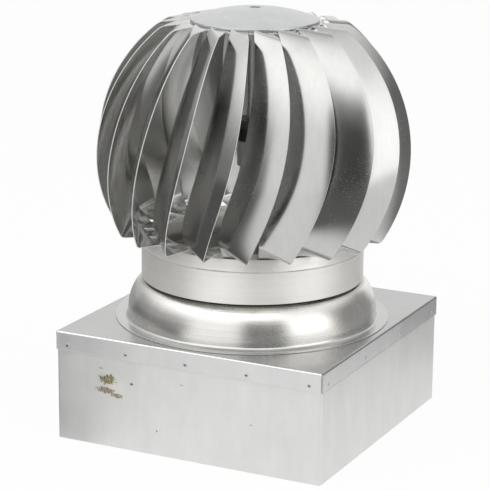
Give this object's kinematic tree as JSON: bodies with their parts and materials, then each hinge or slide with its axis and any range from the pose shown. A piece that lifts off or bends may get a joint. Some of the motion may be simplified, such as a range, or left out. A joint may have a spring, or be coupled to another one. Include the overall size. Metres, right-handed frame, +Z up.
{
  "type": "roof turbine ventilator",
  "caption": "Wind-driven roof turbine ventilator: a round wheel of curved sheet blades turns on a ball-bearing spindle above a square flashing base with a spun throat.",
  "frame": {"origin": "middle of the lower edge of the square skirt, at the bottom of the bounding box", "axes": "+Z up along the wheel's spindle, X and Y square to the base's sides"},
  "size_m": [0.325, 0.325, 0.4401],
  "materials": {
    "base_sheet": "stainless sheet, mill finish",
    "spun_sheet": "spun stainless, semi-bright",
    "wheel_sheet": "stainless sheet, semi-bright",
    "blade_sheet": "stainless sheet, semi-bright",
    "cap_sheet": "spun stainless, satin",
    "rivet_alloy": "plain aluminium rivets",
    "zinc_plated_steel": "zinc plated",
    "fastener_steel": "zinc plated",
    "black_enamel": "black enamel",
    "bearing_steel": "ground and polished",
    "cage_polymer": "moulded polyamide"
  },
  "bodies": {
    "base": {"base_lid": "base_sheet", "base_skirt": "base_sheet", "lid_rivets": "rivet_alloy", "throat_collar": "spun_sheet", "cross_bar": "zinc_plated_steel", "cross_bar_rivets": "rivet_alloy", "bearing_post": "zinc_plated_steel", "post_washers": "fastener_steel", "post_nut": "fastener_steel", "bearing_housing": "black_enamel", "housing_circlip": "bearing_steel", "outer_spacer": "bearing_steel", "lower_outer_race": "bearing_steel", "upper_outer_race": "bearing_steel"},
    "wheel": {"blade_01": "blade_sheet", "blade_02": "blade_sheet", "blade_03": "blade_sheet", "blade_04": "blade_sheet", "blade_05": "blade_sheet", "blade_06": "blade_sheet", "blade_07": "blade_sheet", "blade_08": "blade_sheet", "blade_09": "blade_sheet", "blade_10": "blade_sheet", "blade_11": "blade_sheet", "blade_12": "blade_sheet", "blade_13": "blade_sheet", "blade_14": "blade_sheet", "blade_15": "blade_sheet", "blade_16": "blade_sheet", "blade_17": "blade_sheet", "blade_18": "blade_sheet", "blade_19": "blade_sheet", "blade_20": "blade_sheet", "cap": "cap_sheet", "top_plate": "wheel_sheet", "upper_tab_rivets": "rivet_alloy", "lower_ring": "wheel_sheet", "skirt_band": "wheel_sheet", "lower_tab_rivets": "rivet_alloy", "spindle": "bearing_steel", "spindle_lower_nut": "fastener_steel", "inner_spacer": "bearing_steel", "lower_inner_race": "bearing_steel", "upper_inner_race": "bearing_steel", "dust_cap": "black_enamel", "hub_flange": "zinc_plated_steel", "hub_bolts": "fastener_steel", "hub_nuts": "fastener_steel", "top_washer": "fastener_steel", "top_nut": "fastener_steel"},
    "lower_ball_set": {"lower_balls": "bearing_steel", "lower_cage": "cage_polymer"},
    "upper_ball_set": {"upper_balls": "bearing_steel", "upper_cage": "cage_polymer"}
  },
  "joints": [
    {"name": "wheel_spin", "type": "hinge", "parent": "base", "child": "wheel", "pos_m": [0, 0, 0.309], "axis": [0, 0, 1], "continuous": true},
    {"name": "lower_ball_set_spin", "type": "hinge", "parent": "base", "child": "lower_ball_set", "pos_m": [0, 0, 0.302], "axis": [0, 0, 1], "continuous": true},
    {"name": "upper_ball_set_spin", "type": "hinge", "parent": "base", "child": "upper_ball_set", "pos_m": [0, 0, 0.316], "axis": [0, 0, 1], "continuous": true}
  ],
  "couplings": [
    {"joint": "lower_ball_set_spin", "follows": "wheel_spin", "ratio": 0.3667},
    {"joint": "upper_ball_set_spin", "follows": "wheel_spin", "ratio": 0.3667}
  ]
}
